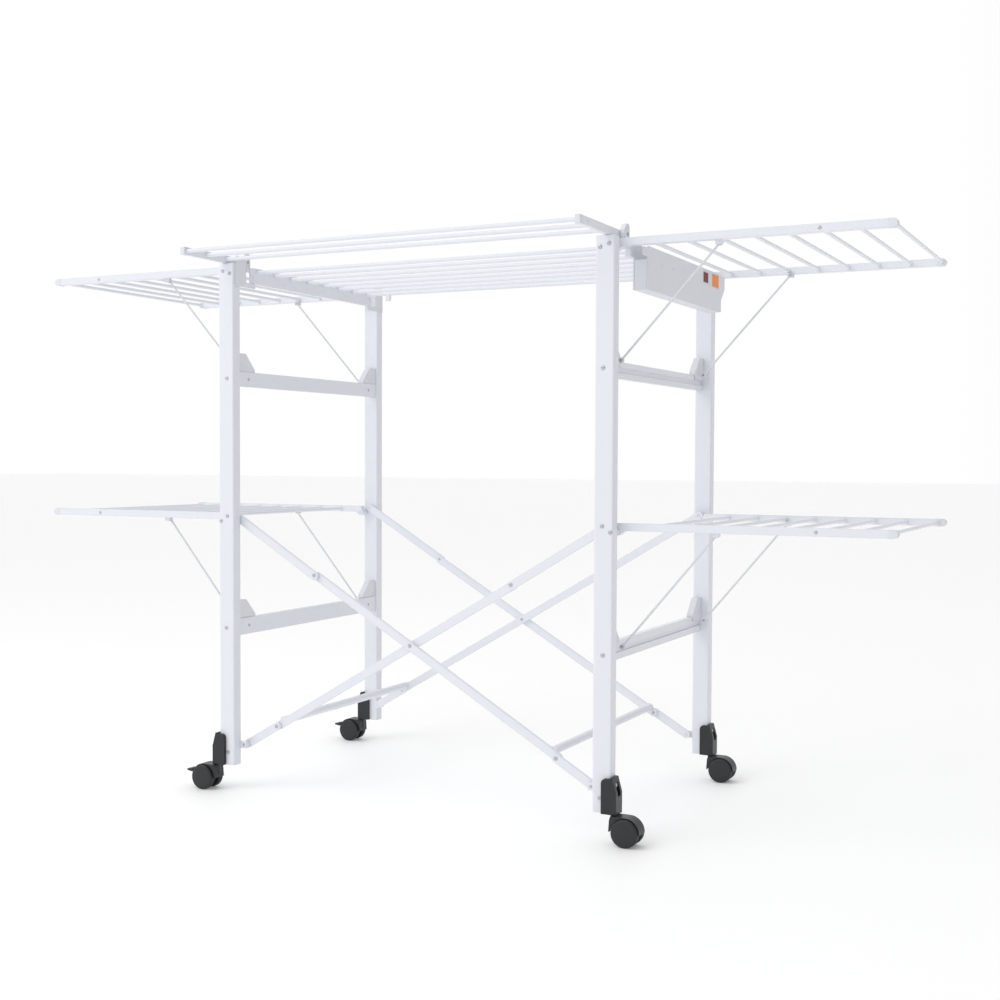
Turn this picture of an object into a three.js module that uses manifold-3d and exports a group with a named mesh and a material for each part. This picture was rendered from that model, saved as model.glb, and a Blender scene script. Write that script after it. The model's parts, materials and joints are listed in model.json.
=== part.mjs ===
// Clothes drying rack on casters: two end frames joined by folding scissor braces, a top deck with a
// flip-over front tray, four fold-down wings on hooked wire struts, and a peg box at the right end.
// Millimetres. X runs along the rack, Y from front to back, Z up. The floor is Z = 0.
import * as THREE from "three";
import { mergeVertices } from "three/addons/utils/BufferGeometryUtils.js";
import Module from "manifold-3d";

const wasm = await Module();
wasm.setup();

// Clearances
const GAP = 0.3;
const HOLE_R = 3;
const PIN_R = 2.6;
const BOSS_R = 6;

// End frames: four posts, at X = +-POST_X and Y = +-POST_Y
const POST_X = 410;
const POST_Y = 273;
const POST_W = 36;
const POST_D = 24;
const POST_LOW = 52.5;
const POST_TOP = 1065;
const POST_CORNER_R = 3.5;
const POST_INNER_X = POST_X - POST_W / 2;
const POST_OUTER_X = POST_X + POST_W / 2;
const POST_INNER_Y = POST_Y - POST_D / 2;
const POST_OUTER_Y = POST_Y + POST_D / 2;

// Crossrails between the front and back posts of one end frame, and the strut seats on their ends
const RAIL_X = [396, 408.5];
const RAIL_GROOVE = { depth: 3, height: 9 };
const UPPER_RAIL_Z = [820, 850];
const LOWER_RAIL_Z = [314.5, 348.5];
const SEAT = { x: [397, 410.5], rise: 37, flat: 24, foot: 54, toe: 5, skirt: 9 };
const BRACKET = { thick: 4, y: [247, 278], reach: 217, z: [1020, 1080] };

// Wings: a pivot on the posts, side bars and eight rods
const WING_BAR_Y = [236, 251.4];
const WING_BAR_H = 13.7;
const WING_EYE_R = 7;
const WING_NECK = 14;
const UPPER_WING = { pivot: [417.3, 1050.4], low: 1050, tip: 900 };
const LOWER_WING = { pivot: [423.3, 547.8], low: 549.3, tip: 907.7 };
const WING_ROD_R = 3.5;
const WING_ROD_FIRST = 477;
const WING_ROD_PITCH = 59.5;
const WING_RODS = 8;

// Struts: wire with an eye at each end, just inside the wing's side bars
const STRUT_TOP_X = 600;
const STRUT_DROP = 3;
const STRUT_Y = [228.7, 233.2];
const STRUT_EYE_R = 5.2;
const STRUT_WIRE_R = 2;
const STRUT_PIN_R = 1.9;
const STRUT_HOLE_R = 2.3;
const STRUT_LUG = { half: 6, depth: 4, below: 4 };
const UPPER_STRUT_FOOT = [420.3, 851];
const LOWER_STRUT_FOOT = [426.5, 341];

// Braces: an upper link, a middle bar and a lower link from a top pivot to the far foot pivot
const BRACE_HALF = 8;
const FOOT_TAB = { reach: 6, half: 7, thick: 4 };
const BRACE_TOP = [407.8, 558.3];
const BRACE_FOOT = [382, 92];
const KNEE_HIGH = [214.4, 442.3];
const KNEE_LOW = [310.5, 134];
const LAYER_A = [253.7, 260.7];
const LAYER_B = [246.4, 253.4];
const LAYER_C = [239.1, 246.1];
const TIE_R = 8;
const TIE_BACK = 14;
const TIE_LIFT = 5;

// Top deck
const DECK_ROD_R = 4;
const DECK_ROD_Z = 1054;
const DECK_ROD_PITCH = 60;
const DECK_RODS = 8;
const DECK_LEFT_BAR = { x: [-399.5, -388.8], y: 222, z: [1030, 1062] };
const DECK_RIGHT_BAR = { x: [419, 429.5], y: 213, z: [1036, 1062] };
const LEFT_RISER_X = [-407.5, -403.5];
const RIGHT_RISER_X = [418.5, 427];
const RISER = { inner: 213, outer: 237, foot: 231, above: 18, corner: [4, 11], overlap: 8 };
const DECK_STOP = { x: [-336, -325], half: 3, low: 1038 };

// Front tray
const TRAY_ARM_X = [408, 418];
const TRAY_ARM_Z = [1065.6, 1080];
const TRAY_FRONT_Y = -413.5;
const TRAY_PIVOT = [-220, 1074.5];
const TRAY_RODS_Y = [-405.5, -345, -285];
const TRAY_ROD_R = 4;
const TRAY_ROD_Z = 1073;
const TRAY_PIN_R = 2.6;
const TRAY_HOLE_R = 2.9;
const TRAY_CORNER = 3;

// Peg box
const BOX_X = [433.5, 462.5];
const BOX_Y = 211;
const BOX_LOW = 977;
const BOX_WALL = 2.5;
const BOX_INNER_TOP = 1033;
const BOX_END_TOP = 1030;
const BOX_OUTER_TOP = 1053;
const BOX_EAR = { y: 234.5, top: 1049.5, corner: 6, notch: 1034, foot: 1000, heel: 1026 };

// Casters
const WHEEL_R = 25;
const WHEEL_X = 460;
const STEM_X = 434;
const STEM_R = 6;
const WHEEL_INSIDE = 6.5;
const WHEEL_OUTSIDE = 21;
const HOOD_R = 27;
const HOOD_INSIDE = 25.6;
const HOOD_HALF = 14.5;
const HOOD_WEB_R = 26.5;
const HUB_CLEAR_R = 19;
const AXLE_R = 3.6;
const FLAP_X = 31;
const SOCKET = {
  x: [412, 441],
  before: 7.4,
  behind: 21.7,
  top: 117,
  shoulder: 90,
  crown: 433.5,
  corner: 8,
  slot: { depth: 7, y: [1, 14], shoulder: 6, top: 9 },
};
const CASTER_FORWARD = { front: -POST_OUTER_Y, back: POST_INNER_Y };

// The tray reaches out in front of the posts, so the group is moved back until the origin is under the
// middle of the whole rack.
const MOVE_BACK = (-TRAY_FRONT_Y - POST_OUTER_Y) / 2;

const ARC = 10;
const part = new THREE.Group();
part.name = "drying_rack";
part.position.y = MOVE_BACK;

// A three.js geometry as a solid that can be joined and cut.
function solid(geometry) {
  const bare = geometry.index ? geometry.toNonIndexed() : geometry.clone();
  bare.deleteAttribute("normal");
  bare.deleteAttribute("uv");
  const merged = mergeVertices(bare, 1e-4);
  const index = merged.index.array;
  const kept = [];
  for (let i = 0; i < index.length; i += 3) {
    const [a, b, c] = [index[i], index[i + 1], index[i + 2]];
    if (a !== b && b !== c && c !== a) kept.push(a, b, c);
  }
  return new wasm.Manifold(
    new wasm.Mesh({
      numProp: 3,
      vertProperties: new Float32Array(merged.attributes.position.array),
      triVerts: new Uint32Array(kept),
    }),
  );
}

function join(...pieces) {
  return pieces.flat().reduce((a, b) => a.add(b));
}

function cut(body, ...tools) {
  return tools.flat().reduce((a, b) => a.subtract(b), body);
}

// Adds one node. An sx of -1 mirrors it to the left, and an sy of -1 to the front. y moves it.
function add(name, made, sx = 1, sy = 1, y = 0) {
  const mesh = made.getMesh();
  const geometry = new THREE.BufferGeometry();
  geometry.setAttribute("position", new THREE.BufferAttribute(mesh.vertProperties, 3));
  geometry.setIndex(new THREE.BufferAttribute(mesh.triVerts, 1));
  const node = new THREE.Mesh(geometry);
  node.name = name;
  node.scale.set(sx, sy, 1);
  node.position.y = y;
  part.add(node);
}

function box(x, y, z) {
  const made = new THREE.BoxGeometry(x[1] - x[0], y[1] - y[0], z[1] - z[0]);
  made.translate((x[0] + x[1]) / 2, (y[0] + y[1]) / 2, (z[0] + z[1]) / 2);
  return solid(made);
}

// A round bar from one point to another.
function round(from, to, radius, sides = 16) {
  const a = new THREE.Vector3(...from);
  const b = new THREE.Vector3(...to);
  const along = b.clone().sub(a);
  const made = new THREE.CylinderGeometry(radius, radius, along.length(), sides);
  const turn = new THREE.Quaternion();
  turn.setFromUnitVectors(new THREE.Vector3(0, 1, 0), along.clone().normalize());
  made.applyQuaternion(turn);
  const middle = a.add(b).multiplyScalar(0.5);
  made.translate(middle.x, middle.y, middle.z);
  return solid(made);
}

function outline(points) {
  return new THREE.Shape(points.map(([a, b]) => new THREE.Vector2(a, b)));
}

function extrude(shape, depth) {
  return new THREE.ExtrudeGeometry(shape, { depth, bevelEnabled: false, curveSegments: ARC });
}

// A profile in X and Z, extruded along Y.
function alongY(shape, [low, high]) {
  const made = extrude(shape, high - low);
  const turn = new THREE.Matrix4().makeBasis(
    new THREE.Vector3(1, 0, 0),
    new THREE.Vector3(0, 0, 1),
    new THREE.Vector3(0, -1, 0),
  );
  made.applyMatrix4(turn);
  made.translate(0, high, 0);
  return solid(made);
}

// A profile in Y and Z, extruded along X.
function alongX(shape, [low, high]) {
  const made = extrude(shape, high - low);
  const turn = new THREE.Matrix4().makeBasis(
    new THREE.Vector3(0, 1, 0),
    new THREE.Vector3(0, 0, 1),
    new THREE.Vector3(1, 0, 0),
  );
  made.applyMatrix4(turn);
  made.translate(low, 0, 0);
  return solid(made);
}

// A flat bar with round ends between two points in X and Z, with a hole at each given point.
function flatBar([x0, z0], [x1, z1], half, y, holes = []) {
  const angle = Math.atan2(z1 - z0, x1 - x0);
  const shape = new THREE.Shape();
  shape.absarc(x0, z0, half, angle + Math.PI / 2, angle + 1.5 * Math.PI, false);
  shape.absarc(x1, z1, half, angle - Math.PI / 2, angle + Math.PI / 2, false);
  shape.closePath();
  const bores = holes.map(([x, z]) => round([x, y[0] - 1, z], [x, y[1] + 1, z], HOLE_R));
  return cut(alongY(shape, y), bores);
}

// A post's tube, with rounded long edges.
function roundedTube() {
  const r = POST_CORNER_R;
  const shape = new THREE.Shape();
  shape.absarc(POST_INNER_X + r, POST_INNER_Y + r, r, Math.PI, 1.5 * Math.PI, false);
  shape.absarc(POST_OUTER_X - r, POST_INNER_Y + r, r, -Math.PI / 2, 0, false);
  shape.absarc(POST_OUTER_X - r, POST_OUTER_Y - r, r, 0, Math.PI / 2, false);
  shape.absarc(POST_INNER_X + r, POST_OUTER_Y - r, r, Math.PI / 2, Math.PI, false);
  shape.closePath();
  const made = extrude(shape, POST_TOP - POST_LOW);
  made.translate(0, 0, POST_LOW);
  return solid(made);
}

// One post for the right-hand back corner. The right posts carry the second brace's top pivot and the
// first brace's foot; the left posts carry the other two.
function post(right) {
  const inner = POST_INNER_Y + 1;
  const topReach = right ? LAYER_B[0] : LAYER_A[0];
  const footReach = right ? LAYER_A[0] : LAYER_B[0];
  const [tx, tz] = BRACE_TOP;
  const [fx, fz] = BRACE_FOOT;
  const { reach, half, thick } = FOOT_TAB;
  const pieces = [
    roundedTube(),
    box([fx - reach, POST_INNER_X + 1], [inner, inner + thick], [fz - half, fz + half]),
    round([tx, inner, tz], [tx, topReach, tz], PIN_R),
    round([fx, inner + 2, fz], [fx, footReach, fz], PIN_R),
  ];
  const boss = LAYER_A[0] + GAP;
  if (right) pieces.push(round([tx, inner, tz], [tx, boss, tz], BOSS_R));
  else pieces.push(round([fx, inner + 2, fz], [fx, boss, fz], BOSS_R));
  for (const { pivot } of [UPPER_WING, LOWER_WING]) {
    const [px, pz] = pivot;
    pieces.push(round([px, inner, pz], [px, WING_BAR_Y[1] + GAP, pz], BOSS_R - 1));
    pieces.push(round([px, inner, pz], [px, WING_BAR_Y[0], pz], PIN_R));
  }
  return join(pieces);
}

function crossrail([low, high]) {
  const reach = POST_INNER_Y - GAP;
  const middle = (low + high) / 2;
  const half = RAIL_GROOVE.height / 2;
  const outer = RAIL_X[1];
  return cut(
    box(RAIL_X, [-reach, reach], [low, high]),
    box([outer - RAIL_GROOVE.depth, outer + 1], [-reach - 1, reach + 1], [middle - half, middle + half]),
  );
}

// A seat on the end of a crossrail: a gusset that stands on the rail, with a skirt down its outer face.
function strutSeat([, railTop]) {
  const reach = POST_INNER_Y - GAP;
  const base = railTop + GAP;
  const gusset = outline([
    [reach - SEAT.foot, base],
    [reach, base],
    [reach, railTop + SEAT.rise],
    [reach - SEAT.flat, railTop + SEAT.rise],
    [reach - SEAT.foot, base + SEAT.toe],
  ]);
  return join(
    alongX(gusset, SEAT.x),
    box([RAIL_X[1] + GAP, SEAT.x[1]], [reach - SEAT.foot, reach], [railTop - SEAT.skirt, base + 1]),
  );
}

// A plate on a left post's inner X face, which reaches under the deck's end bar.
function topBracket() {
  const { thick, y, reach, z } = BRACKET;
  const x = [POST_INNER_X - thick, POST_INNER_X - GAP];
  return join(box(x, y, z), box(x, [reach, y[0] + 1], [z[0], DECK_LEFT_BAR.z[0] - GAP]));
}

function wing({ pivot, low, tip }) {
  const [px, pz] = pivot;
  const high = low + WING_BAR_H;
  const tipR = WING_BAR_H / 2;
  const shape = new THREE.Shape();
  shape.absarc(px, pz, WING_EYE_R, 0.75 * Math.PI, 1.75 * Math.PI, false);
  shape.lineTo(px + WING_NECK, low);
  shape.absarc(tip - tipR, low + tipR, tipR, -Math.PI / 2, Math.PI / 2, false);
  shape.lineTo(px - 1, high);
  shape.closePath();
  const bar = cut(
    alongY(shape, WING_BAR_Y),
    round([px, WING_BAR_Y[0] - 1, pz], [px, WING_BAR_Y[1] + 1, pz], HOLE_R),
  );
  const pinZ = low - STRUT_DROP;
  const { half, depth, below } = STRUT_LUG;
  const [inside] = WING_BAR_Y;
  const x = STRUT_TOP_X;
  const lug = box([x - half, x + half], [inside, inside + depth], [pinZ - below, low + 1]);
  const pin = round([x, STRUT_Y[0], pinZ], [x, inside + 1, pinZ], STRUT_PIN_R, 12);
  const side = join(bar, lug, pin);
  const rodZ = low + tipR;
  const rods = [];
  for (let k = 0; k < WING_RODS; k++) {
    const x = WING_ROD_FIRST + k * WING_ROD_PITCH;
    rods.push(round([x, -WING_BAR_Y[0] - 2, rodZ], [x, WING_BAR_Y[0] + 2, rodZ], WING_ROD_R, 12));
  }
  return join(side, side.mirror([0, 1, 0]), rods);
}

function strut({ low }, [footX, footZ]) {
  const pinZ = low - STRUT_DROP;
  const [near, far] = STRUT_Y;
  const middle = (near + far) / 2;
  const top = [STRUT_TOP_X, pinZ];
  const ends = [top, [footX, footZ]];
  const eyes = ends.map(([x, z]) => round([x, near, z], [x, far, z], STRUT_EYE_R));
  const wire = round([top[0], middle, top[1]], [footX, middle, footZ], STRUT_WIRE_R, 12);
  const boreAt = ([x, z]) => round([x, near - 1, z], [x, far + 1, z], STRUT_HOLE_R, 12);
  return cut(join(eyes, wire), ends.map(boreAt));
}

// The brace's upper link, drawn for the right-hand back corner. It turns on the post's pin.
function upperLink(own) {
  return flatBar(KNEE_HIGH, BRACE_TOP, BRACE_HALF, own, [BRACE_TOP]);
}

// The brace's lower link, with the pin that carries the middle bar.
function lowerLink(own, next) {
  const [x, z] = KNEE_LOW;
  return join(
    flatBar(KNEE_LOW, BRACE_FOOT, BRACE_HALF, own, [BRACE_FOOT]),
    round([x, own[0] + 1, z], [x, next[0], z], PIN_R),
  );
}

// The front and back middle bars of one brace, with the tie that joins them near the lower knee.
function middleFrame(layer) {
  const high = [-KNEE_HIGH[0], KNEE_HIGH[1]];
  const bar = flatBar(high, KNEE_LOW, BRACE_HALF, layer, [KNEE_LOW]);
  const dx = KNEE_LOW[0] - high[0];
  const dz = KNEE_LOW[1] - high[1];
  const length = Math.hypot(dx, dz);
  const x = KNEE_LOW[0] - (TIE_BACK * dx - TIE_LIFT * -dz) / length;
  const z = KNEE_LOW[1] - (TIE_BACK * dz - TIE_LIFT * dx) / length;
  const reach = (layer[0] + layer[1]) / 2;
  return join(bar, bar.mirror([0, 1, 0]), round([x, -reach, z], [x, reach, z], TIE_R, 20));
}

// A riser that holds one tray arm's pivot, tied back to the deck's end bar above the wing's ears.
function riser(x, bar) {
  const [py, pz] = TRAY_PIVOT;
  const inner = -(bar.y - 6);
  const low = bar.z[1] - RISER.overlap;
  const high = TRAY_ARM_Z[0];
  const top = pz + RISER.above;
  const [inside, outside] = RISER.corner;
  const shape = outline([
    [inner, low],
    [inner, bar.z[1]],
    [-RISER.inner, high],
    [-RISER.inner, top - inside],
    [-RISER.inner - inside, top],
    [-RISER.outer + outside, top],
    [-RISER.outer, top - outside],
    [-RISER.outer, high + 1],
    [-RISER.foot, high],
    [-RISER.foot, low],
  ]);
  const bore = round([x[0] - 1, py, pz], [x[1] + 1, py, pz], TRAY_HOLE_R);
  const reach = [Math.min(x[0], bar.x[0] + 1), Math.max(x[1], bar.x[0] + 1)];
  const foot = box(reach, [-RISER.foot, inner], [low, bar.z[1]]);
  return join(cut(alongX(shape, x), bore), foot);
}

function deck() {
  const pieces = [DECK_LEFT_BAR, DECK_RIGHT_BAR].map((b) => box(b.x, [-b.y, b.y], b.z));
  const from = DECK_LEFT_BAR.x[1] - 2;
  const to = DECK_RIGHT_BAR.x[0] + 2;
  for (let k = 0; k < DECK_RODS; k++) {
    const y = (k - (DECK_RODS - 1) / 2) * DECK_ROD_PITCH;
    pieces.push(round([from, y, DECK_ROD_Z], [to, y, DECK_ROD_Z], DECK_ROD_R, 12));
  }
  const last = ((DECK_RODS - 1) / 2) * DECK_ROD_PITCH;
  const { x, half, low } = DECK_STOP;
  pieces.push(box(x, [last - half, last + half], [low, DECK_ROD_Z]));
  pieces.push(riser(LEFT_RISER_X, DECK_LEFT_BAR));
  pieces.push(riser(RIGHT_RISER_X, DECK_RIGHT_BAR));
  return join(pieces);
}

function tray() {
  const [py, pz] = TRAY_PIVOT;
  const [low, high] = TRAY_ARM_Z;
  const half = (high - low) / 2;
  const corner = TRAY_CORNER;
  const front = TRAY_FRONT_Y + corner;
  const shape = new THREE.Shape();
  shape.moveTo(front, low);
  shape.lineTo(py, low);
  shape.absarc(py, low + half, half, -Math.PI / 2, Math.PI / 2, false);
  shape.lineTo(front, high);
  shape.absarc(front, high - corner, corner, Math.PI / 2, Math.PI, false);
  shape.absarc(front, low + corner, corner, Math.PI, 1.5 * Math.PI, false);
  const arm = alongX(shape, TRAY_ARM_X);
  const pins = [
    round([-TRAY_ARM_X[0] - 1, py, pz], [LEFT_RISER_X[1] + 0.5, py, pz], TRAY_PIN_R),
    round([TRAY_ARM_X[1] - 1, py, pz], [RIGHT_RISER_X[1] + 0.5, py, pz], TRAY_PIN_R),
  ];
  const reach = TRAY_ARM_X[0] + 1;
  const rodAt = (y) => round([-reach, y, TRAY_ROD_Z], [reach, y, TRAY_ROD_Z], TRAY_ROD_R, 12);
  const rods = TRAY_RODS_Y.map(rodAt);
  return join(arm, arm.mirror([1, 0, 0]), pins, rods);
}

// The peg box's outer wall. It runs on past both ends as ears that fix the box to the wing's side bars:
// a tab with a rounded corner at the front, and a gusset at the back.
function pegBoxOuterWall() {
  const x = [BOX_X[1] - BOX_WALL, BOX_X[1]];
  const { y, top, corner, notch, foot, heel } = BOX_EAR;
  const root = BOX_Y - 1;
  const tab = new THREE.Shape();
  tab.moveTo(-root, notch);
  tab.lineTo(-root, top);
  tab.lineTo(-y + corner, top);
  tab.absarc(-y + corner, top - corner, corner, Math.PI / 2, Math.PI, false);
  tab.lineTo(-y, notch);
  tab.closePath();
  const gusset = outline([
    [root, foot],
    [y, heel],
    [y, top],
    [root, top],
  ]);
  return join(box(x, [-BOX_Y, BOX_Y], [BOX_LOW, BOX_OUTER_TOP]), alongX(tab, x), alongX(gusset, x));
}

function pegBoxInnerWall() {
  return box([BOX_X[0], BOX_X[0] + BOX_WALL], [-BOX_Y, BOX_Y], [BOX_LOW, BOX_INNER_TOP]);
}

// The peg box's floor and its two end walls.
function pegBoxBase() {
  const x = [BOX_X[0] + BOX_WALL + GAP, BOX_X[1] - BOX_WALL - GAP];
  const inside = BOX_Y - BOX_WALL;
  return cut(
    box(x, [-BOX_Y, BOX_Y], [BOX_LOW, BOX_END_TOP]),
    box([x[0] - 1, x[1] + 1], [-inside, inside], [BOX_LOW + BOX_WALL, BOX_END_TOP + 1]),
  );
}

// The socket that wraps the front and outer faces of a post's foot. It is drawn for a front face at Y = 0.
function casterSocket() {
  const { x, before, behind, top, shoulder, crown, corner, slot } = SOCKET;
  const skin = POST_OUTER_X + GAP;
  const block = outline([
    [skin, POST_LOW],
    [x[1], POST_LOW],
    [x[1], shoulder],
    [crown, top],
    [skin, top],
  ]);
  const lip = new THREE.Shape();
  lip.moveTo(x[0], POST_LOW);
  lip.lineTo(skin + 1, POST_LOW);
  lip.lineTo(skin + 1, top - 2);
  lip.absarc(x[0] + corner, top - 2 - corner, corner, Math.PI / 2, Math.PI, false);
  lip.closePath();
  const window = box([x[1] - slot.depth, x[1] + 1], slot.y, [shoulder - slot.shoulder, top - slot.top]);
  return cut(join(alongY(block, [-before, behind]), alongY(lip, [-before, -GAP])), window);
}

// The web between the twin wheels, the band over them with its leading flap, and the swivel stem. It is
// drawn with the wheel's centre at X = 0.
function casterHood() {
  const trail = WHEEL_X - STEM_X;
  const web = new THREE.Shape();
  web.moveTo(-trail - 5, WHEEL_R);
  web.absarc(0, WHEEL_R, HUB_CLEAR_R, Math.PI, 2 * Math.PI, false);
  web.absarc(0, WHEEL_R, HOOD_WEB_R, 0, Math.PI / 2, false);
  web.lineTo(-trail - 5, WHEEL_R + HOOD_WEB_R);
  web.closePath();
  const band = new THREE.Shape();
  band.absarc(0, WHEEL_R, HOOD_R, 0, Math.PI / 2, false);
  band.lineTo(-trail - 2, WHEEL_R + HOOD_R);
  band.lineTo(-FLAP_X, WHEEL_R);
  band.lineTo(-FLAP_X + 2, WHEEL_R);
  band.absarc(0, WHEEL_R, HOOD_INSIDE, 0.84 * Math.PI, 0, true);
  band.closePath();
  const half = WHEEL_INSIDE - GAP;
  const axle = round([0, -WHEEL_OUTSIDE, WHEEL_R], [0, WHEEL_OUTSIDE, WHEEL_R], AXLE_R);
  const stem = round([-trail, 0, WHEEL_R + 5], [-trail, 0, POST_LOW - GAP], STEM_R);
  const made = join(cut(alongY(web, [-half, half]), axle), alongY(band, [-HOOD_HALF, HOOD_HALF]), stem);
  return made.translate([WHEEL_X, 0, 0]);
}

function twinWheels() {
  const inner = WHEEL_INSIDE;
  const outer = WHEEL_OUTSIDE;
  const half = [
    [3, inner],
    [20, inner],
    [24, inner + 1],
    [WHEEL_R, inner + 3],
    [WHEEL_R, outer - 3.5],
    [23.5, outer - 1],
    [19, outer],
    [0, outer],
  ];
  const mirrored = half.map(([r, y]) => [r, -y]).reverse();
  const profile = [...mirrored, ...half].map(([r, y]) => new THREE.Vector2(r, y));
  const made = new THREE.LatheGeometry(profile, 32);
  made.translate(WHEEL_X, 0, WHEEL_R);
  return solid(made);
}

function brakeLever() {
  const shape = outline([
    [27.5, 7],
    [43, 8.5],
    [46, 10.5],
    [39, 14],
    [28, 15.5],
  ]);
  return alongY(shape, [-10, 10]).translate([WHEEL_X, 0, WHEEL_R]);
}

const SIDES = { left: -1, right: 1 };
const ENDS = { front: -1, back: 1 };

for (const [side, sx] of Object.entries(SIDES)) {
  const right = side === "right";
  add(`upper_crossrail_${side}`, crossrail(UPPER_RAIL_Z), sx);
  add(`lower_crossrail_${side}`, crossrail(LOWER_RAIL_Z), sx);
  add(`upper_wing_${side}`, wing(UPPER_WING), sx);
  add(`lower_wing_${side}`, wing(LOWER_WING), sx);
  for (const [end, sy] of Object.entries(ENDS)) {
    const corner = `${side}_${end}`;
    add(`post_${corner}`, post(right), sx, sy);
    add(`upper_seat_${corner}`, strutSeat(UPPER_RAIL_Z), sx, sy);
    add(`lower_seat_${corner}`, strutSeat(LOWER_RAIL_Z), sx, sy);
    add(`upper_strut_${corner}`, strut(UPPER_WING, UPPER_STRUT_FOOT), sx, sy);
    add(`lower_strut_${corner}`, strut(LOWER_WING, LOWER_STRUT_FOOT), sx, sy);
    add(`caster_socket_${corner}`, casterSocket(), sx, 1, CASTER_FORWARD[end]);
    add(`caster_hood_${corner}`, casterHood(), sx, 1, CASTER_FORWARD[end]);
    add(`caster_wheels_${corner}`, twinWheels(), sx, 1, CASTER_FORWARD[end]);
    if (right) continue;
    add(`top_bracket_${corner}`, topBracket(), sx, sy);
    add(`brake_lever_${end}`, brakeLever(), sx, 1, CASTER_FORWARD[end]);
  }
}

// The first brace starts at the left posts and ends at the right ones; the second is its mirror image.
for (const [end, sy] of Object.entries(ENDS)) {
  add(`brace_1_upper_link_${end}`, upperLink(LAYER_A), -1, sy);
  add(`brace_1_lower_link_${end}`, lowerLink(LAYER_A, LAYER_B), 1, sy);
  add(`brace_2_upper_link_${end}`, upperLink(LAYER_B), 1, sy);
  add(`brace_2_lower_link_${end}`, lowerLink(LAYER_B, LAYER_C), -1, sy);
}
add("brace_1_middle_frame", middleFrame(LAYER_B));
add("brace_2_middle_frame", middleFrame(LAYER_C), -1);

add("deck_frame", deck());
add("front_tray", tray());
add("peg_box_outer_wall", pegBoxOuterWall());
add("peg_box_inner_wall", pegBoxInnerWall());
add("peg_box_base", pegBoxBase());

export default part;
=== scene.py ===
"""Looks for the folding clothes drying rack: paint, screws, plugs, casters, studio and camera.

Everything is in metres, in the CAD's frame: X along the rack, Y from the tray side to the back, Z up.
"""

import json
import math

import bmesh
import bpy
from mathutils import Matrix, Vector


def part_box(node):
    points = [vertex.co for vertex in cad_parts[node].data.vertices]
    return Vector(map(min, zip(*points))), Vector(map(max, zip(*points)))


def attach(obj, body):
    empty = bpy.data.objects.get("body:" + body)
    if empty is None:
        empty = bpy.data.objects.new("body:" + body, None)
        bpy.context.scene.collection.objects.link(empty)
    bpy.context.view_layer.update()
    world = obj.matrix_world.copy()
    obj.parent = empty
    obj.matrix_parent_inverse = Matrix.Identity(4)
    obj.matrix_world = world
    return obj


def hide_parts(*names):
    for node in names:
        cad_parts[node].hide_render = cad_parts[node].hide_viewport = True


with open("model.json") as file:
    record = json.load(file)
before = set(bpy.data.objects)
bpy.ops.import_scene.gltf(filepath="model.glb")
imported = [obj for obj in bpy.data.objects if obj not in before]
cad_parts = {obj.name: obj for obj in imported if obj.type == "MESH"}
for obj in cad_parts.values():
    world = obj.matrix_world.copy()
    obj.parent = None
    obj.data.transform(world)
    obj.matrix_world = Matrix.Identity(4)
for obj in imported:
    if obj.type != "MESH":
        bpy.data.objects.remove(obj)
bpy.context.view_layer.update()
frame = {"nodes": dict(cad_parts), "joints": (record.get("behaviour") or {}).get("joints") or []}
JOINTS = {joint["name"]: joint for joint in frame["joints"]}

SIDES = {"left": -1, "right": 1}
ENDS = {"front": -1, "back": 1}
LEVELS = ("upper", "lower")

# Paint and plastic, as linear colours
WHITE = (0.78, 0.80, 0.855)
PLASTIC_WHITE = (0.73, 0.75, 0.79)
WIRE_WHITE = (0.68, 0.70, 0.735)
ZINC = (0.52, 0.53, 0.55)
BLACK = (0.0115, 0.0135, 0.0165)
TREAD_BLACK = (0.017, 0.018, 0.021)
LABEL_RED = (0.16, 0.01, 0.015)
LABEL_ORANGE = (0.85, 0.28, 0.05)

# Radius of the rounding that the light sees on each kind of edge
PAINT_EDGE = 0.0009
BLACK_EDGE = 0.0007
FINE_EDGE = 0.0004
EDGE_SAMPLES = 4

# The fine grain's height, and how many broad patches of roughness there are to a metre
GRAIN_HEIGHT = 0.0002
PATCH_SCALE = 14.0

# Name, colour, roughness, metal, coat, edge radius, grain strength, grain scale and roughness spread
FINISHES = {
    "paint": ("white_paint", WHITE, 0.36, 0.0, 0.25, PAINT_EDGE, 0.12, 900.0, 0.06),
    "plastic": ("white_plastic", PLASTIC_WHITE, 0.45, 0.0, 0.0, PAINT_EDGE, 0.10, 1500.0, 0.06),
    "wire": ("white_wire", WIRE_WHITE, 0.38, 0.0, 0.0, FINE_EDGE, 0.12, 900.0, 0.06),
    "zinc": ("zinc_screw", ZINC, 0.30, 1.0, 0.0, FINE_EDGE, 0.08, 2500.0, 0.08),
    "black": ("black_plastic", BLACK, 0.38, 0.0, 0.0, BLACK_EDGE, 0.10, 1500.0, 0.05),
    "tread": ("black_tread", TREAD_BLACK, 0.60, 0.0, 0.0, FINE_EDGE, 0.20, 1200.0, 0.08),
    "red": ("label_red", LABEL_RED, 0.5, 0.0, 0.0, FINE_EDGE, 0.05, 1500.0, 0.06),
    "orange": ("label_orange", LABEL_ORANGE, 0.5, 0.0, 0.0, FINE_EDGE, 0.05, 1500.0, 0.06),
}
PLASTIC_WORDS = ("seat", "bracket", "peg_box")

# Mesh helpers
ROUNDING_STEPS = 3
ROUNDING_ANGLE = math.radians(35)
ON_AXIS = 1e-6

# Screws and rivets: radius and height, and the head's shape as shares of them
SCREW_R = 0.0040
SCREW_H = 0.0014
RIVET_R = 0.0032
RIVET_H = 0.0010
HEAD_SUNK = 0.0004
HEAD_SHAPE = ((1, 0.35), (0.86, 0.75), (0.55, 1), (0.36, 1), (0.30, 0.45), (0, 0.4))
HEAD_SIDES = 20

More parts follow.
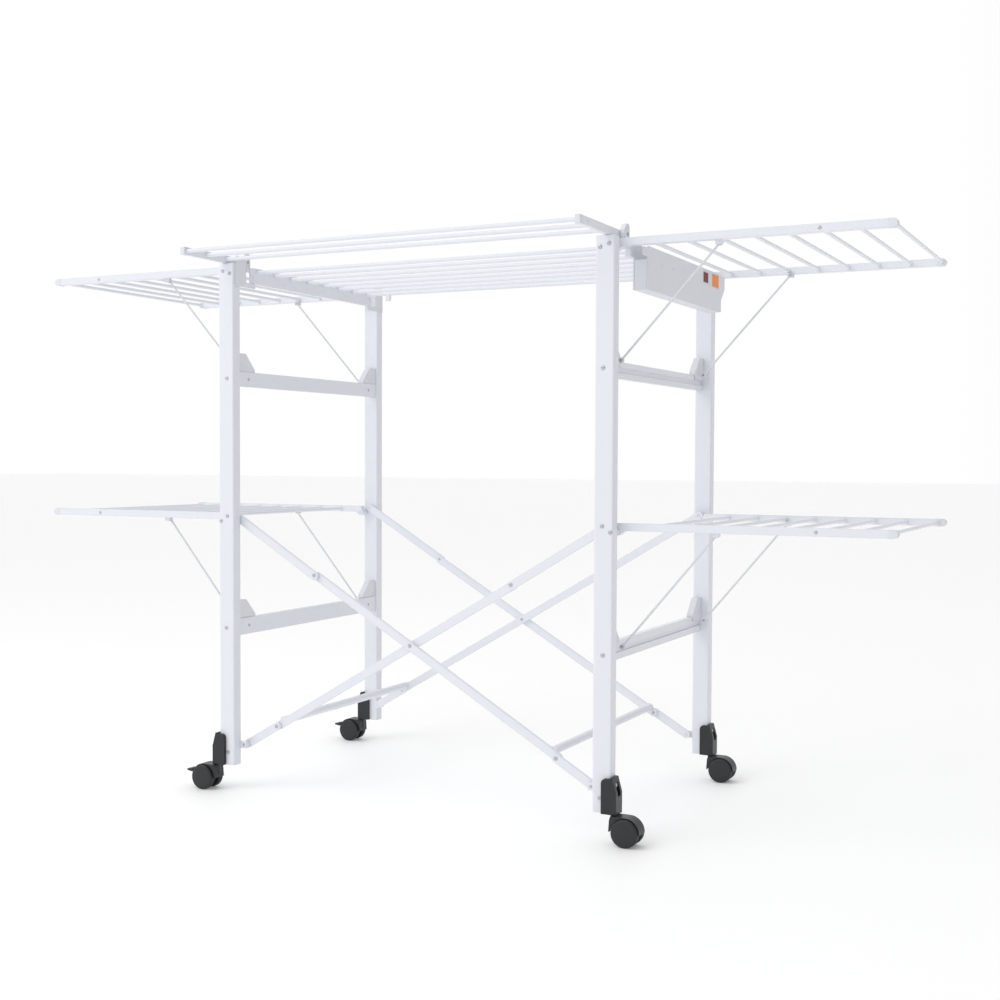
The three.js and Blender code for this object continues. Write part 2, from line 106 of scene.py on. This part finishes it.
# Where the posts' screws are: the face they stand on, then offsets from the post's middle, top and foot
POST_FACE_Y = 0.285
POST_MIDDLE_OUT = 0.0085
TOP_SCREW_IN = 0.010
TOP_SCREW_DOWN = 0.020
RAIL_SCREW_IN = 0.003
FOOT_SCREW_IN = 0.004
FOOT_SCREW_UP = 0.026

# Where the other screws and rivets are. A name that ends in Y is a distance from the rack's middle
RAIL_RIVET_Y = 0.229
WING_RIVET_X = 0.775
WING_HINGE_Y = 0.2287
WING_BAR_HIGH = 0.0137
UPPER_KNEE_IN = 0.008
BRACE_BAR_THICK = 0.007
BRACE_FOOT_Y = 0.266
TRAY_ARM_INNER = 0.408
TRAY_ARM_OUTER = 0.418
TRAY_ARM_HIGH = 0.0144
TRAY_PLUG_BACK = 0.033
TRAY_PLUG_DOWN = 0.0015
TRAY_PLUG_H = 0.0006
TRAY_PIN_X = -0.403

# Moulded plugs at the wings' tips and the tray's front, which stand proud of their bars by the sleeve
SLEEVE = 0.0004
WING_PLUG_LONG = 0.016
WING_PLUG_WIDE = 0.0158
WING_TIP_STEPS = 12
WING_PLUG_ROUNDING = 0.0006
TRAY_PLUG_LONG = 0.0125
TRAY_PLUG_ROUNDING = 0.0015

# Post tubes and their end caps
POST_CENTRE = (0.410, 0.273)
CAP_SIZE = (0.0356, 0.0236)
CAP_CORNER = 0.0034
CAP_CORNER_STEPS = 5
CAP_BELOW = 0.0003
CAP_ABOVE = 0.0018
CAP_INSIDE = 0.001
CAP_ROUNDING = 0.0005

# Pins through the feet of the struts
STRUT_EYE_R = 0.0052
STRUT_FOOT_Y = 0.231
STRUT_PIN_R = 0.0022
STRUT_PIN_HALF = 0.0035
STRUT_PIN_SIDES = 16

# Casters: one wheel's profile as (radius, distance from the middle), and where its tread starts
WHEEL_R = 0.025
WHEEL_PROFILE = (
    (0, 0),
    (0.003, 0.0065),
    (0.0195, 0.0068),
    (0.0235, 0.0075),
    (0.0248, 0.0085),
    (WHEEL_R, 0.0100),
    (WHEEL_R, 0.0175),
    (0.0246, 0.0189),
    (0.0236, 0.0197),
    (0.0225, 0.0199),
    (0.0218, 0.0203),
    (0.0160, 0.0208),
    (0.0080, 0.0210),
    (0, 0.0211),
)
WHEEL_SIDES = 64
TREAD_FROM = 0.0241

# The hood's band and flap, its web between the wheels and its stem, from the wheel's centre
HOOD_IN = 0.0256
HOOD_OUT = 0.0270
HOOD_HALF = 0.0145
HOOD_LIP_ANGLE = -2
HOOD_FLAP_ANGLE = 151
HOOD_OUT_STEPS = 18
HOOD_IN_STEPS = 26
TRAIL = 0.026
HOOD_FLAP = (
    (-0.012, HOOD_OUT),
    (-TRAIL - 0.0015, HOOD_OUT - 0.0002),
    (-0.0295, 0.0210),
    (-0.0310, 0.0),
    (-0.0292, -0.0006),
)
HOOD_ROUNDING = 0.0007
WEB_R = 0.0262
WEB_FLAP = ((-0.030, WEB_R), (-0.0305, 0.001))
WEB_HUB_R = 0.019
WEB_HALF = 0.0062
WEB_STEPS = 10
WEB_HUB_STEPS = 16
STEM_R = 0.006
STEM_FROM_Z = 0.006
STEM_LONG = 0.0212
STEM_SIDES = 24

# The brake pedal's side view, from the wheel's centre
LEVER_OUTLINE = (
    (0.0275, 0.0070),
    (0.034, 0.0066),
    (0.043, 0.0082),
    (0.0458, 0.0104),
    (0.0440, 0.0118),
    (0.0390, 0.0125),
    (0.0330, 0.0135),
    (0.0280, 0.0155),
)
LEVER_HALF = 0.010
LEVER_ROUNDING = 0.0009

# The window in each caster's socket, and the rivet in it
SOCKET_BEHIND = 0.0217
WINDOW_DEPTH = 0.007
WINDOW_MIDDLE = 0.0075
WINDOW_DOWN = 0.014
SOCKET_RIVET_R = 0.0042
SOCKET_RIVET_H = 0.0024

# Peg box details, across Y from the rack's middle and up from the floor
STUDS_Y = (-0.1405, -0.080)
STUD_Z = 1.028
STUD_SUNK = 0.0004
LABEL_SUNK = 0.0002
LABEL_PATCHES = (
    ("label_back", "wire", 0.0002, (0.094, 0.195), (1.021, 1.050)),
    ("label_red", "red", 0.0003, (0.096, 0.126), (1.026, 1.046)),
    ("label_orange", "orange", 0.0003, (0.151, 0.193), (1.023, 1.0485)),
)

# Studio: the surround goes from bright to dim between two directions in X, and the lamp stands to the left
SURROUND_BRIGHT = 1.0
SURROUND_DIM = 0.50
BRIGHT_AT = -0.15
DIM_AT = 0.85
KEY_WATTS = 34
KEY_PLACE = (-1.8, -2.6, 3.4)
KEY_SIZE = (2.6, 2.6)
KEY_AIM_Z = 0.6
FLOOR_HALF = 40.0
FLOOR_THICK = 0.02
FLOOR_WHITE = (0.96, 0.96, 0.96)
FLOOR_ROUGHNESS = 0.6
FLOOR_GLOW = 0.10

# Camera: angles in degrees, lens and sensor in millimetres
CAMERA_YAW = 26.65
CAMERA_PITCH = -2.09
CAMERA_ROLL = 0.25
CAMERA_X = 1.3207
CAMERA_AHEAD = 2.5023
CAMERA_Z = 0.6751
CAMERA_LENS = 49.23
CAMERA_SENSOR = 36.0
CAMERA_SHIFT_Y = 0.009


def corners(node):
    low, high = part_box(node)
    return Vector(low), Vector(high)


def middle(node):
    low, high = corners(node)
    return (low + high) / 2


def pivot(joint):
    return Vector(JOINTS[joint]["pos_m"])


MID_Y = pivot("deck_tilt").y


# ---------------------------------------------------------------- materials


def principled(name, colour, roughness, metallic, coat):
    material = bpy.data.materials.new(name)
    material.use_nodes = True
    shader = material.node_tree.nodes["Principled BSDF"]
    shader.inputs["Base Color"].default_value = (*colour, 1)
    shader.inputs["Roughness"].default_value = roughness
    shader.inputs["Metallic"].default_value = metallic
    shader.inputs["Coat Weight"].default_value = coat
    return material


def soften_edges(material, radius, bump, scale, spread):
    """Rounds the look of sharp edges, adds a fine raised grain, and varies the roughness in broad patches."""
    nodes = material.node_tree.nodes
    links = material.node_tree.links
    shader = nodes["Principled BSDF"]
    place = nodes.new("ShaderNodeTexCoord")
    bevel = nodes.new("ShaderNodeBevel")
    bevel.samples = EDGE_SAMPLES
    bevel.inputs["Radius"].default_value = radius
    grain = nodes.new("ShaderNodeTexNoise")
    grain.inputs["Scale"].default_value = scale
    raised = nodes.new("ShaderNodeBump")
    raised.inputs["Strength"].default_value = bump
    raised.inputs["Distance"].default_value = GRAIN_HEIGHT
    links.new(place.outputs["Object"], grain.inputs["Vector"])
    links.new(grain.outputs["Fac"], raised.inputs["Height"])
    links.new(bevel.outputs["Normal"], raised.inputs["Normal"])
    links.new(raised.outputs["Normal"], shader.inputs["Normal"])
    middle_roughness = shader.inputs["Roughness"].default_value
    patches = nodes.new("ShaderNodeTexNoise")
    patches.inputs["Scale"].default_value = PATCH_SCALE
    ramp = nodes.new("ShaderNodeMapRange")
    ramp.inputs["To Min"].default_value = middle_roughness - spread
    ramp.inputs["To Max"].default_value = middle_roughness + spread
    links.new(place.outputs["Object"], patches.inputs["Vector"])
    links.new(patches.outputs["Fac"], ramp.inputs["Value"])
    links.new(ramp.outputs["Result"], shader.inputs["Roughness"])
    return material


def make_materials():
    materials = {}
    for key, (name, colour, roughness, metallic, coat, edge, bump, scale, spread) in FINISHES.items():
        material = principled(name, colour, roughness, metallic, coat)
        materials[key] = soften_edges(material, edge, bump, scale, spread)
    return materials


def paint_frame(materials):
    """Gives every CAD node its material."""
    for name, node in frame["nodes"].items():
        if "strut" in name:
            chosen = materials["wire"]
        elif name.startswith(("caster", "brake")):
            chosen = materials["black"]
        elif any(word in name for word in PLASTIC_WORDS):
            chosen = materials["plastic"]
        else:
            chosen = materials["paint"]
        node.data.materials.clear()
        node.data.materials.append(chosen)


# ---------------------------------------------------------------- mesh helpers


def finish_mesh(name, bm, material, body, smooth=True, bevel=0.0):
    """Turns a bmesh into a piece that rides on a body."""
    bmesh.ops.recalc_face_normals(bm, faces=bm.faces)
    mesh = bpy.data.meshes.new(name)
    bm.to_mesh(mesh)
    bm.free()
    piece = bpy.data.objects.new(name, mesh)
    bpy.context.scene.collection.objects.link(piece)
    mesh.materials.append(material)
    if bevel:
        rounding = piece.modifiers.new("rounding", "BEVEL")
        rounding.width = bevel
        rounding.segments = ROUNDING_STEPS
        rounding.limit_method = "ANGLE"
        rounding.angle_limit = ROUNDING_ANGLE
    if smooth:
        for face in mesh.polygons:
            face.use_smooth = True
        piece.modifiers.new("normals", "WEIGHTED_NORMAL").keep_sharp = True
    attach(piece, body)
    return piece


def facing(direction):
    """A rotation that takes +Z to a direction."""
    return Vector((0, 0, 1)).rotation_difference(Vector(direction)).to_matrix().to_4x4()


def add_lathe(bm, profile, place, sides):
    """Turns a profile of (radius, height) about the place's own Z. The profile starts or ends on the axis."""
    rings = []
    for radius, height in profile:
        if radius < ON_AXIS:
            rings.append([bm.verts.new(place @ Vector((0, 0, height)))])
            continue
        ring = []
        for i in range(sides):
            angle = 2 * math.pi * i / sides
            point = Vector((radius * math.cos(angle), radius * math.sin(angle), height))
            ring.append(bm.verts.new(place @ point))
        rings.append(ring)
    for low, high in zip(rings, rings[1:]):
        for i in range(sides):
            j = (i + 1) % sides
            if len(low) == 1:
                bm.faces.new((low[0], high[i], high[j]))
            elif len(high) == 1:
                bm.faces.new((low[i], high[0], low[j]))
            else:
                bm.faces.new((low[i], high[i], high[j], low[j]))


def add_prism(bm, outline, low, high, place):
    """Extrudes an outline in X and Z between two Y values."""
    near = [bm.verts.new(place @ Vector((x, low, z))) for x, z in outline]
    far = [bm.verts.new(place @ Vector((x, high, z))) for x, z in outline]
    bm.faces.new(near)
    bm.faces.new(list(reversed(far)))
    count = len(outline)
    for i in range(count):
        j = (i + 1) % count
        bm.faces.new((near[j], near[i], far[i], far[j]))


def add_box(bm, low, high, place=None):
    outline = [(low[0], low[2]), (high[0], low[2]), (high[0], high[2]), (low[0], high[2])]
    add_prism(bm, outline, low[1], high[1], place or Matrix.Identity(4))


def arc(cx, cz, radius, start, end, steps):
    """Points of an arc, with angles in degrees."""
    points = []
    for i in range(steps + 1):
        angle = math.radians(start + (end - start) * i / steps)
        points.append((cx + radius * math.cos(angle), cz + radius * math.sin(angle)))
    return points


# ---------------------------------------------------------------- screws and rivets


def add_head(bm, at, direction, radius, height):
    """A domed head with a small socket, standing on a face."""
    place = Matrix.Translation(Vector(at)) @ facing(direction)
    profile = [(0, -HEAD_SUNK), (radius, -HEAD_SUNK)]
    profile += [(wide * radius, tall * height) for wide, tall in HEAD_SHAPE]
    add_lathe(bm, profile, place, HEAD_SIDES)


def heads(name, spots, body, material, radius=SCREW_R, height=SCREW_H):
    """One piece holding all the heads of a body. A spot is a point and a direction."""
    bm = bmesh.new()
    for at, direction in spots:
        add_head(bm, at, direction, radius, height)
    return finish_mesh(name, bm, material, body)


def post_screws(materials):
    """Screws through the outer faces of the posts, at the brackets, rails and pivots."""
    for side, sx in SIDES.items():
        spots = []
        for end, sy in ENDS.items():
            low, high = corners(f"post_{side}_{end}")
            x = middle(f"upper_crossrail_{side}").x + sx * POST_MIDDLE_OUT
            face = MID_Y + sy * POST_FACE_Y
            rail_up = middle(f"upper_crossrail_{side}").z
            rail_low = middle(f"lower_crossrail_{side}").z
            brace = "1" if side == "left" else "2"
            top = pivot(f"brace_{brace}_top_pivot")
            wing_up = pivot(f"upper_{side}_wing_fold")
            wing_low = pivot(f"lower_{side}_wing_fold")
            places = [
                (x - sx * TOP_SCREW_IN, high.z - TOP_SCREW_DOWN),
                (wing_up.x, wing_up.z),
                (x - sx * RAIL_SCREW_IN, rail_up),
                (top.x, top.z),
                (wing_low.x, wing_low.z),
                (x, rail_low),
                (x - sx * FOOT_SCREW_IN, low.z + FOOT_SCREW_UP),
            ]
            for px, pz in places:
                spots.append(((px, face, pz), (0, sy, 0)))
        heads(f"post_screws_{side}", spots, f"{side}_end_frame", materials["zinc"])


def rail_rivets(materials):
    """Rivets on the inner face of each crossrail's end brackets."""
    for side, sx in SIDES.items():
        spots = []
        for level in LEVELS:
            low, high = corners(f"{level}_crossrail_{side}")
            face = low.x if sx > 0 else high.x
            height = (low.z + high.z) / 2
            for sy in ENDS.values():
                spots.append(((face, MID_Y + sy * RAIL_RIVET_Y, height), (-sx, 0, 0)))
        heads(f"rail_rivets_{side}", spots, f"{side}_end_frame", materials["zinc"], RIVET_R, RIVET_H)


def wing_screws(materials):
    """Rivets near the tips of the side bars, and those that hold the struts' upper eyes."""
    for side, sx in SIDES.items():
        for level in LEVELS:
            low, high = corners(f"{level}_wing_{side}")
            hinge = pivot(f"{level}_{side}_strut_pivot")
            bar_mid = high.z - WING_BAR_HIGH / 2
            outer = (high.y - low.y) / 2
            spots = []
            for sy in ENDS.values():
                spots.append(((sx * WING_RIVET_X, MID_Y + sy * outer, bar_mid), (0, sy, 0)))
                spots.append(((hinge.x, MID_Y + sy * WING_HINGE_Y, hinge.z), (0, -sy, 0)))
            body = f"{level}_{side}_wing"
            heads(f"{level}_wing_screws_{side}", spots, body, materials["zinc"], RIVET_R, RIVET_H)


def brace_screws(materials):
    """Pivot screws of the braces: the knees, the crossing and the foot pivots, with a nut behind each bar."""
    for number, near in (("1", -1), ("2", 1)):
        top = pivot(f"brace_{number}_top_pivot")
        knee = pivot(f"brace_{number}_low_knee")
        foot = pivot(f"brace_{number}_foot_pivot")
        link_low, link_high = corners(f"brace_{number}_upper_link_front")
        high_knee_x = (link_high.x if near < 0 else link_low.x) + near * UPPER_KNEE_IN
        share = (high_knee_x - top.x) / (foot.x - top.x)
        high_knee = top.lerp(foot, share)
        crossing = top.lerp(foot, top.x / (top.x - foot.x))
        link_face = MID_Y - link_low.y
        bar_face = MID_Y - corners(f"brace_{number}_middle_frame")[0].y
        lower_face = MID_Y - corners(f"brace_{number}_lower_link_front")[0].y
        for part, point, face in (
            ("upper_links", high_knee, link_face),
            ("middle", crossing, bar_face),
            ("lower_links", knee, lower_face),
        ):
            spots = [((point.x, MID_Y + sy * face, point.z), (0, sy, 0)) for sy in ENDS.values()]
            heads(f"brace_{number}_{part}_screws", spots, f"brace_{number}_{part}", materials["zinc"])
        inner = bar_face - BRACE_BAR_THICK
        spots = []
        for point in (crossing, knee, high_knee):
            for sy in ENDS.values():
                spots.append(((point.x, MID_Y + sy * inner, point.z), (0, -sy, 0)))
        heads(f"brace_{number}_nuts", spots, f"brace_{number}_middle", materials["zinc"], RIVET_R, RIVET_H)
        feet = [((foot.x, MID_Y + sy * BRACE_FOOT_Y, foot.z), (0, sy, 0)) for sy in ENDS.values()]
        body = "right_end_frame" if near < 0 else "left_end_frame"
        heads(f"brace_{number}_foot_screws", feet, body, materials["zinc"], RIVET_R, RIVET_H)


def tray_screws(materials):
    """The tray's pivot screws, and the small plugs near the front of its arms."""
    low, high = corners("front_tray")
    axis = pivot("tray_flip")
    spots = []
    for sx in SIDES.values():
        at = (sx * TRAY_ARM_OUTER, low.y + TRAY_PLUG_BACK, axis.z - TRAY_PLUG_DOWN)
        spots.append((at, (sx, 0, 0)))
    heads("tray_plugs", spots, "tray", materials["plastic"], RIVET_R, TRAY_PLUG_H)
    pins = [((x, axis.y, axis.z), (1, 0, 0)) for x in (high.x, TRAY_PIN_X)]
    heads("tray_pivot_screws", pins, "tray", materials["zinc"], RIVET_R, RIVET_H)


# ---------------------------------------------------------------- plugs and caps


def wing_plugs(materials):
    """Moulded plugs over the tips of the wings' side bars."""
    for side, sx in SIDES.items():
        for level in LEVELS:
            low, high = corners(f"{level}_wing_{side}")
            tip = high.x if sx > 0 else -low.x
            outer = (high.y - low.y) / 2
            top = high.z + SLEEVE
            bottom = high.z - WING_BAR_HIGH - SLEEVE
            radius = (top - bottom) / 2
            centre = tip + SLEEVE - radius
            outline = [(tip - WING_PLUG_LONG, bottom)]
            outline += arc(centre, (top + bottom) / 2, radius, -90, 90, WING_TIP_STEPS)
            outline.append((tip - WING_PLUG_LONG, top))
            bm = bmesh.new()
            flip = Matrix.Diagonal((sx, 1, 1, 1))
            for sy in ENDS.values():
                ends = sorted((sy * (outer + SLEEVE), sy * (outer - WING_PLUG_WIDE)))
                add_prism(bm, outline, MID_Y + ends[0], MID_Y + ends[1], flip)
            name = f"{level}_wing_plugs_{side}"
            body = f"{level}_{side}_wing"
            finish_mesh(name, bm, materials["plastic"], body, bevel=WING_PLUG_ROUNDING)


def tray_plugs(materials):
    """Moulded ends on the front of the tray's arms."""
    low, high = corners("front_tray")
    bm = bmesh.new()
    for sx in SIDES.values():
        ends = sorted((sx * (TRAY_ARM_INNER - SLEEVE), sx * (TRAY_ARM_OUTER + SLEEVE)))
        add_box(
            bm,
            (ends[0], low.y - SLEEVE, high.z - TRAY_ARM_HIGH - SLEEVE),
            (ends[1], low.y + TRAY_PLUG_LONG, high.z + SLEEVE),
        )
    finish_mesh(
        "tray_arm_plugs", bm, materials["plastic"], "tray", bevel=TRAY_PLUG_ROUNDING
    )


def rounded_plate(bm, middle_at, size, radius, low, high):
    """A flat plate with rounded corners, between two heights."""
    half_x = size[0] / 2 - radius
    half_y = size[1] / 2 - radius
    outline = []
    for turn, (sx, sy) in enumerate(((1, 1), (-1, 1), (-1, -1), (1, -1))):
        at = (middle_at.x + sx * half_x, middle_at.y + sy * half_y)
        outline += arc(*at, radius, 90 * turn, 90 * turn + 90, CAP_CORNER_STEPS)
    stand = Matrix(((1, 0, 0, 0), (0, 0, 1, 0), (0, 1, 0, 0), (0, 0, 0, 1)))
    add_prism(bm, outline, low, high, stand)


def post_caps(materials):
    """Thin moulded caps in the posts' feet and in the tops of the back posts."""
    for side, sx in SIDES.items():
        bm = bmesh.new()
        for end, sy in ENDS.items():
            low, high = corners(f"post_{side}_{end}")
            centre = Vector((sx * POST_CENTRE[0], MID_Y + sy * POST_CENTRE[1]))
            rounded_plate(bm, centre, CAP_SIZE, CAP_CORNER, low.z - CAP_BELOW, low.z + CAP_INSIDE)
            if end == "back":
                rounded_plate(bm, centre, CAP_SIZE, CAP_CORNER, high.z - CAP_INSIDE, high.z + CAP_ABOVE)
        name = f"post_caps_{side}"
        body = f"{side}_end_frame"
        finish_mesh(name, bm, materials["plastic"], body, bevel=CAP_ROUNDING)


def strut_pins(materials):
    """The cross pin in each strut's foot eye."""
    pin_profile = [
        (0, -STRUT_PIN_HALF),
        (STRUT_PIN_R, -STRUT_PIN_HALF),
        (STRUT_PIN_R, STRUT_PIN_HALF),
        (0, STRUT_PIN_HALF),
    ]
    for side, sx in SIDES.items():
        for level in LEVELS:
            bm = bmesh.new()
            for end, sy in ENDS.items():
                low, high = corners(f"{level}_strut_{side}_{end}")
                foot_x = low.x + STRUT_EYE_R if sx > 0 else high.x - STRUT_EYE_R
                foot = Vector((foot_x, MID_Y + sy * STRUT_FOOT_Y, low.z + STRUT_EYE_R))
                place = Matrix.Translation(foot) @ facing((0, 1, 0))
                add_lathe(bm, pin_profile, place, STRUT_PIN_SIDES)
            name = f"{level}_strut_pins_{side}"
            finish_mesh(name, bm, materials["zinc"], f"{level}_{side}_struts")


# ---------------------------------------------------------------- casters


def caster_wheels(corner, materials):
    """Twin wheels with crowned hub covers and a tread."""
    centre = pivot(f"roll_{corner}")
    bm = bmesh.new()
    for direction in (-1, 1):
        place = Matrix.Translation(centre) @ facing((0, direction, 0))
        add_lathe(bm, WHEEL_PROFILE, place, WHEEL_SIDES)
    piece = finish_mesh(f"wheels_{corner}", bm, materials["black"], f"wheels_{corner}")
    piece.data.materials.append(materials["tread"])
    for face in piece.data.polygons:
        offset = face.center - centre
        if math.hypot(offset.x, offset.z) > TREAD_FROM:
            face.material_index = 1
    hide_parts(f"caster_wheels_{corner}")


def hood_outline():
    """The band over the wheels and its leading flap, with the wheel's centre at the origin."""
    points = arc(0, 0, HOOD_OUT, HOOD_LIP_ANGLE, 90, HOOD_OUT_STEPS)
    points += HOOD_FLAP
    points += arc(0, 0, HOOD_IN, HOOD_FLAP_ANGLE, HOOD_LIP_ANGLE, HOOD_IN_STEPS)
    return points


def caster_hood(corner, flip, materials):
    """The hood over the twin wheels, its web between them, and its swivel stem."""
    centre = pivot(f"roll_{corner}")
    place = Matrix.Translation(centre) @ flip
    bm = bmesh.new()
    add_prism(bm, hood_outline(), -HOOD_HALF, HOOD_HALF, place)
    web = arc(0, 0, WEB_R, 0, 90, WEB_STEPS)
    web += WEB_FLAP
    web += arc(0, 0, WEB_HUB_R, 180, 360, WEB_HUB_STEPS)
    add_prism(bm, web, -WEB_HALF, WEB_HALF, place)
    stem = place @ Matrix.Translation((-TRAIL, 0, STEM_FROM_Z))
    add_lathe(bm, [(0, 0), (STEM_R, 0), (STEM_R, STEM_LONG), (0, STEM_LONG)], stem, STEM_SIDES)
    body = f"swivel_{corner}"
    piece = finish_mesh(f"hood_{corner}", bm, materials["black"], body, bevel=HOOD_ROUNDING)
    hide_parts(f"caster_hood_{corner}")


def brake_lever(end, materials):
    """The brake pedal: a thin curved tongue with a thicker root."""
    corner = f"left_{end}"
    place = Matrix.Translation(pivot(f"roll_{corner}")) @ Matrix.Diagonal((-1, 1, 1, 1))
    bm = bmesh.new()
    add_prism(bm, LEVER_OUTLINE, -LEVER_HALF, LEVER_HALF, place)
    name = f"brake_pedal_{end}"
    piece = finish_mesh(name, bm, materials["black"], f"brake_{end}", bevel=LEVER_ROUNDING)
    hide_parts(f"brake_lever_{end}")


def socket_rivets(materials):
    """The rivet that shows in the window of each caster's socket."""
    for side, sx in SIDES.items():
        spots = []
        for end in ENDS:
            low, high = corners(f"caster_socket_{side}_{end}")
            outer = high.x if sx > 0 else low.x
            front = high.y - SOCKET_BEHIND
            at = (outer - sx * WINDOW_DEPTH, front + WINDOW_MIDDLE, high.z - WINDOW_DOWN)
            spots.append((at, (sx, 0, 0)))
        name = f"socket_rivets_{side}"
        heads(name, spots, f"{side}_end_frame", materials["zinc"], SOCKET_RIVET_R, SOCKET_RIVET_H)


def casters(materials):
    for side, sx in SIDES.items():
        flip = Matrix.Diagonal((sx, 1, 1, 1))
        for end in ENDS:
            corner = f"{side}_{end}"
            caster_wheels(corner, materials)
            caster_hood(corner, flip, materials)
    for end in ENDS:
        brake_lever(end, materials)


# ---------------------------------------------------------------- peg box


def peg_box_details(materials):
    """Two small studs and a plain two-colour label on the box's outer wall."""
    face = corners("peg_box_outer_wall")[1].x
    studs = [((face - STUD_SUNK, MID_Y + y, STUD_Z), (1, 0, 0)) for y in STUDS_Y]
    heads("peg_box_studs", studs, "upper_right_wing", materials["wire"], RIVET_R, RIVET_H)
    for name, colour, thick, y, z in LABEL_PATCHES:
        bm = bmesh.new()
        add_box(bm, (face - LABEL_SUNK, MID_Y + y[0], z[0]), (face + thick, MID_Y + y[1], z[1]))
        material = materials[colour]
        finish_mesh(f"peg_box_{name}", bm, material, "upper_right_wing", smooth=False)


# ---------------------------------------------------------------- studio and camera


def add_floor():
    bm = bmesh.new()
    add_box(bm, (-FLOOR_HALF, -FLOOR_HALF, -FLOOR_THICK), (FLOOR_HALF, FLOOR_HALF, 0.0))
    bmesh.ops.recalc_face_normals(bm, faces=bm.faces)
    mesh = bpy.data.meshes.new("floor")
    bm.to_mesh(mesh)
    bm.free()
    floor = bpy.data.objects.new("floor", mesh)
    bpy.context.scene.collection.objects.link(floor)
    material = principled("floor_white", FLOOR_WHITE, FLOOR_ROUGHNESS, 0.0, 0.0)
    shader = material.node_tree.nodes["Principled BSDF"]
    shader.inputs["Emission Color"].default_value = (1, 1, 1, 1)
    shader.inputs["Emission Strength"].default_value = FLOOR_GLOW
    mesh.materials.append(material)


def add_area_light(name, at, target, size, power):
    data = bpy.data.lights.new(name, "AREA")
    data.shape = "RECTANGLE"
    data.size = size[0]
    data.size_y = size[1]
    data.energy = power
    lamp = bpy.data.objects.new(name, data)
    lamp.location = at
    lamp.rotation_euler = (Vector(target) - Vector(at)).to_track_quat("-Z", "Y").to_euler()
    bpy.context.scene.collection.objects.link(lamp)


def studio_world():
    """A white surround that dims towards +X, so that the sides of the tubes read darker than their fronts."""
    world = bpy.data.worlds.new("studio")
    world.use_nodes = True
    nodes = world.node_tree.nodes
    links = world.node_tree.links
    place = nodes.new("ShaderNodeTexCoord")
    split = nodes.new("ShaderNodeSeparateXYZ")
    ramp = nodes.new("ShaderNodeMapRange")
    ramp.inputs["From Min"].default_value = BRIGHT_AT
    ramp.inputs["From Max"].default_value = DIM_AT
    ramp.inputs["To Min"].default_value = SURROUND_BRIGHT
    ramp.inputs["To Max"].default_value = SURROUND_DIM
    links.new(place.outputs["Generated"], split.inputs["Vector"])
    links.new(split.outputs["X"], ramp.inputs["Value"])
    links.new(ramp.outputs["Result"], nodes["Background"].inputs["Strength"])
    nodes["Background"].inputs["Color"].default_value = (1.0, 1.0, 1.0, 1)
    return world


def light_studio():
    bpy.context.scene.world = studio_world()
    add_area_light("key", KEY_PLACE, (0, MID_Y, KEY_AIM_Z), KEY_SIZE, KEY_WATTS)
    bpy.context.scene.view_settings.view_transform = "Standard"


def add_camera():
    yaw = math.radians(CAMERA_YAW)
    pitch = math.radians(CAMERA_PITCH)
    roll = math.radians(CAMERA_ROLL)
    level = math.cos(pitch)
    forward = Vector((-math.sin(yaw) * level, math.cos(yaw) * level, math.sin(pitch)))
    data = bpy.data.cameras.new("camera")
    data.lens = CAMERA_LENS
    data.sensor_width = CAMERA_SENSOR
    data.shift_y = CAMERA_SHIFT_Y
    camera = bpy.data.objects.new("camera", data)
    turn = forward.to_track_quat("-Z", "Y").to_matrix().to_4x4() @ Matrix.Rotation(roll, 4, "Z")
    place = Matrix.Translation((CAMERA_X, MID_Y - CAMERA_AHEAD, CAMERA_Z))
    camera.matrix_world = place @ turn
    bpy.context.scene.collection.objects.link(camera)
    bpy.context.scene.camera = camera


MATERIALS = make_materials()
paint_frame(MATERIALS)
post_screws(MATERIALS)
rail_rivets(MATERIALS)
wing_screws(MATERIALS)
brace_screws(MATERIALS)
tray_screws(MATERIALS)
wing_plugs(MATERIALS)
tray_plugs(MATERIALS)
post_caps(MATERIALS)
strut_pins(MATERIALS)
casters(MATERIALS)
socket_rivets(MATERIALS)
peg_box_details(MATERIALS)
add_floor()
light_studio()
add_camera()
